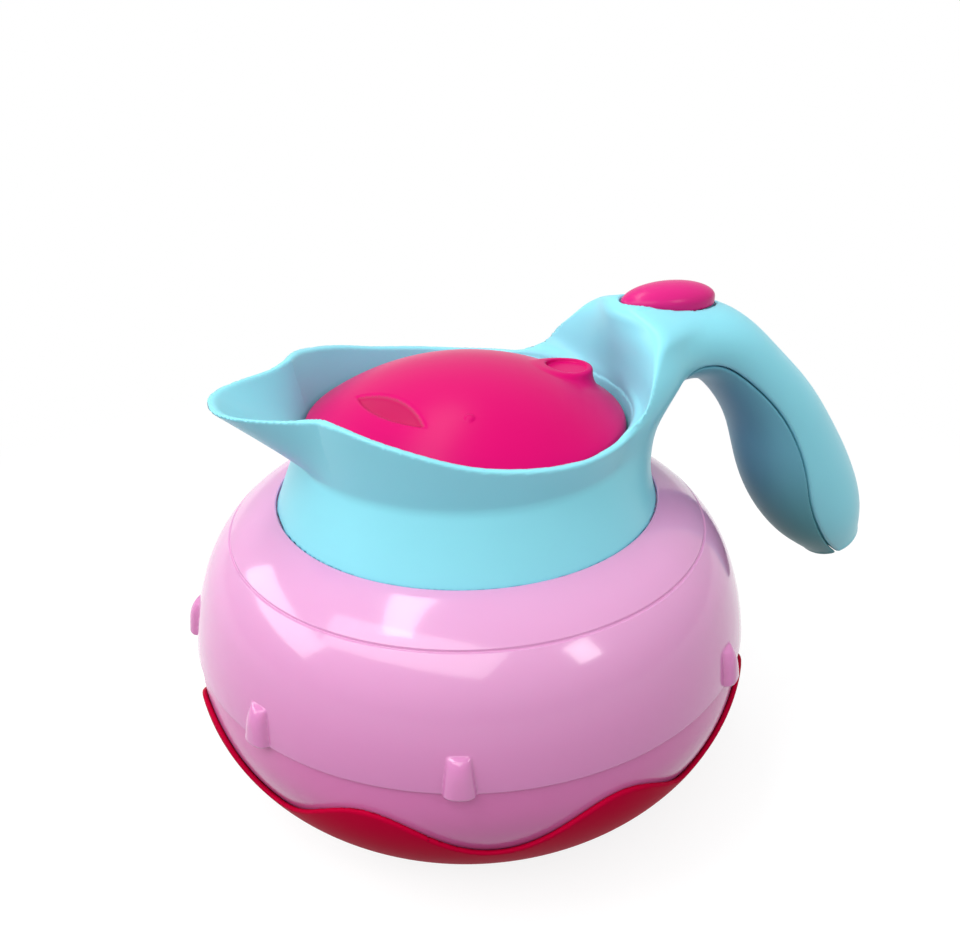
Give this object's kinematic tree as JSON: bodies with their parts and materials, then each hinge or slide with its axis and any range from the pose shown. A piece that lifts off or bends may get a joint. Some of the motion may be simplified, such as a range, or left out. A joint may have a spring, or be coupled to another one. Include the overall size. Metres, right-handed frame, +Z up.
{
  "type": "toy coffee maker",
  "caption": "Toy coffee maker with a round translucent pink body, crimson base cup, blue collar with spout and hollow handle, hinged magenta lid and an oval handle button.",
  "frame": {"origin": "belly axis at the foot plane", "axes": "+X towards the handle, -X towards the spout, +Z up"},
  "size_m": [0.2071, 0.151, 0.1311],
  "materials": {
    "body_pink": "glossy translucent",
    "base_crimson": "glossy",
    "collar_blue": "glossy",
    "lid_magenta": "glossy",
    "inner_white": "matte",
    "dark_plastic": "matte",
    "screw_steel": "satin",
    "spring_steel": "satin",
    "board_green": "matte",
    "chip_black": "matte",
    "led_clear": "clear",
    "diffuser_white": "translucent",
    "cell_label": "satin",
    "speaker_paper": "matte",
    "magnet_steel": "satin",
    "wick_cotton": "matte",
    "piezo_brass": "satin"
  },
  "bodies": {
    "pot": {"base_cup": "base_crimson", "lower_bowl": "body_pink", "upper_bowl": "body_pink", "carafe_top": "collar_blue", "handle_inner_cover": "collar_blue", "button_spring": "spring_steel", "tact_switch": "chip_black", "button_board": "board_green", "button_board_screws": "screw_steel", "pot_well": "lid_magenta", "well_screws": "screw_steel", "lid_hinge_pin": "screw_steel", "chassis_plate": "inner_white", "base_screws": "screw_steel", "body_screws": "screw_steel", "battery_tray": "inner_white", "batteries": "cell_label", "battery_springs": "spring_steel", "battery_plates": "spring_steel", "battery_door": "base_crimson", "battery_door_screw": "screw_steel", "main_board": "board_green", "board_screws": "screw_steel", "board_chips": "chip_black", "leds": "led_clear", "light_diffuser": "diffuser_white", "speaker_frame": "dark_plastic", "speaker_cone": "speaker_paper", "speaker_magnet": "magnet_steel", "power_switch_body": "dark_plastic", "mist_tank": "inner_white", "mist_wick": "wick_cotton", "mist_disc": "piezo_brass"},
    "lid_body": {"lid": "lid_magenta"},
    "button_body": {"handle_button": "lid_magenta"},
    "switch_knob_body": {"power_switch_knob": "inner_white"}
  },
  "joints": [
    {"name": "lid_hinge", "type": "hinge", "parent": "pot", "child": "lid_body", "pos_m": [0.03, 0, 0.1025], "axis": [0, 1, 0], "range_deg": [0, 45]},
    {"name": "handle_button_press", "type": "slide", "parent": "pot", "child": "button_body", "axis": [0, 0, -1], "range_m": [0, 0.0015], "stiffness_N_per_m": 800, "deforming": ["button_spring"]},
    {"name": "power_switch_slide", "type": "slide", "parent": "pot", "child": "switch_knob_body", "axis": [1, 0, 0], "range_m": [0, 0.004]}
  ]
}
